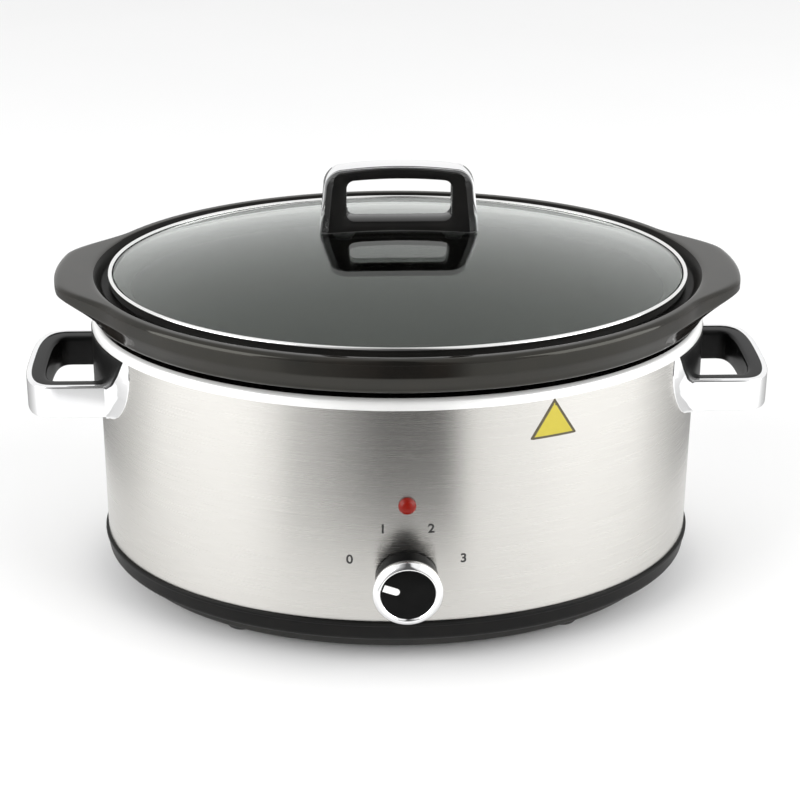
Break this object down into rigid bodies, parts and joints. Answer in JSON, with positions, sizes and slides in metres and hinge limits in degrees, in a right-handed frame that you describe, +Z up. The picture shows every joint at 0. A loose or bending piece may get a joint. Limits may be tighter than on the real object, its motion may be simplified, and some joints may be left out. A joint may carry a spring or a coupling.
{
  "type": "slow cooker",
  "caption": "Oval slow cooker with a brushed steel casing, lift-out glazed crock with lugs, glass lid with a bridge handle, side handles and a rotary heat knob.",
  "frame": {"origin": "on the surface the cooker stands on, under the middle of its overall box", "axes": "+X along the length between the side handles, -Y towards the front with the knob, +Z up"},
  "size_m": [0.413, 0.2822, 0.2383],
  "materials": {
    "black_base": "satin moulded, fine grain",
    "brushed_steel": "vertical soft brushing, bright",
    "chrome_trim": "polished",
    "well_aluminium": "satin drawn",
    "mica_band": "mica and glass tape",
    "plated_steel": "zinc plated",
    "foot_rubber": "matt",
    "handle_plastic": "semi-gloss black",
    "switch_plastic": "moulded",
    "brass_metal": "turned",
    "lamp_red": "clear red lens",
    "wire_sleeve": "silicone sleeve",
    "fuse_metal": "satin",
    "gland_rubber": "moulded",
    "yellow_film": "printed film with a black border",
    "glazed_stoneware": "gloss black-brown glaze",
    "lid_glass": "toughened, grey tint",
    "lid_steel": "rolled bright steel",
    "lid_plastic": "semi-gloss black",
    "seal_silicone": "matt",
    "knob_plastic": "satin black",
    "pointer_white": "white"
  },
  "bodies": {
    "housing": {"base_tray": "black_base", "outer_shell": "brushed_steel", "top_trim_ring": "chrome_trim", "heater_liner": "well_aluminium", "heating_band": "mica_band", "band_clamp": "plated_steel", "clamp_screw": "plated_steel", "liner_posts": "plated_steel", "base_screws": "plated_steel", "foot_front_left": "foot_rubber", "foot_front_right": "foot_rubber", "foot_rear_left": "foot_rubber", "foot_rear_right": "foot_rubber", "handle_core_left": "handle_plastic", "handle_core_right": "handle_plastic", "handle_cover_left": "chrome_trim", "handle_cover_right": "chrome_trim", "handle_screws": "plated_steel", "switch_body": "switch_plastic", "switch_nut": "brass_metal", "switch_bracket": "plated_steel", "bracket_screws": "plated_steel", "lamp_lens": "lamp_red", "lamp_holder": "switch_plastic", "terminal_block": "switch_plastic", "thermal_fuse": "fuse_metal", "fuse_clip": "plated_steel", "internal_wires": "wire_sleeve", "cord_gland": "gland_rubber", "plain_sticker": "yellow_film"},
    "crock": {"crock": "glazed_stoneware"},
    "lid": {"lid_glass": "lid_glass", "lid_rim": "lid_steel", "lid_gasket": "seal_silicone", "lid_handle_core": "lid_plastic", "lid_handle_strap": "chrome_trim", "lid_screws": "plated_steel", "lid_washers": "plated_steel"},
    "knob": {"knob_body": "knob_plastic", "knob_ring": "chrome_trim", "knob_pointer": "pointer_white", "switch_shaft": "brass_metal"}
  },
  "joints": [
    {"name": "crock_lift", "type": "slide", "parent": "housing", "child": "crock", "axis": [0, 0, 1], "range_m": [0, 0.2]},
    {"name": "lid_lift", "type": "slide", "parent": "crock", "child": "lid", "axis": [0, 0, 1], "range_m": [0, 0.12]},
    {"name": "knob_turn", "type": "hinge", "parent": "housing", "child": "knob", "pos_m": [0, -0.12265, 0.052], "axis": [0, 1, 0], "range_deg": [0, 141]}
  ]
}
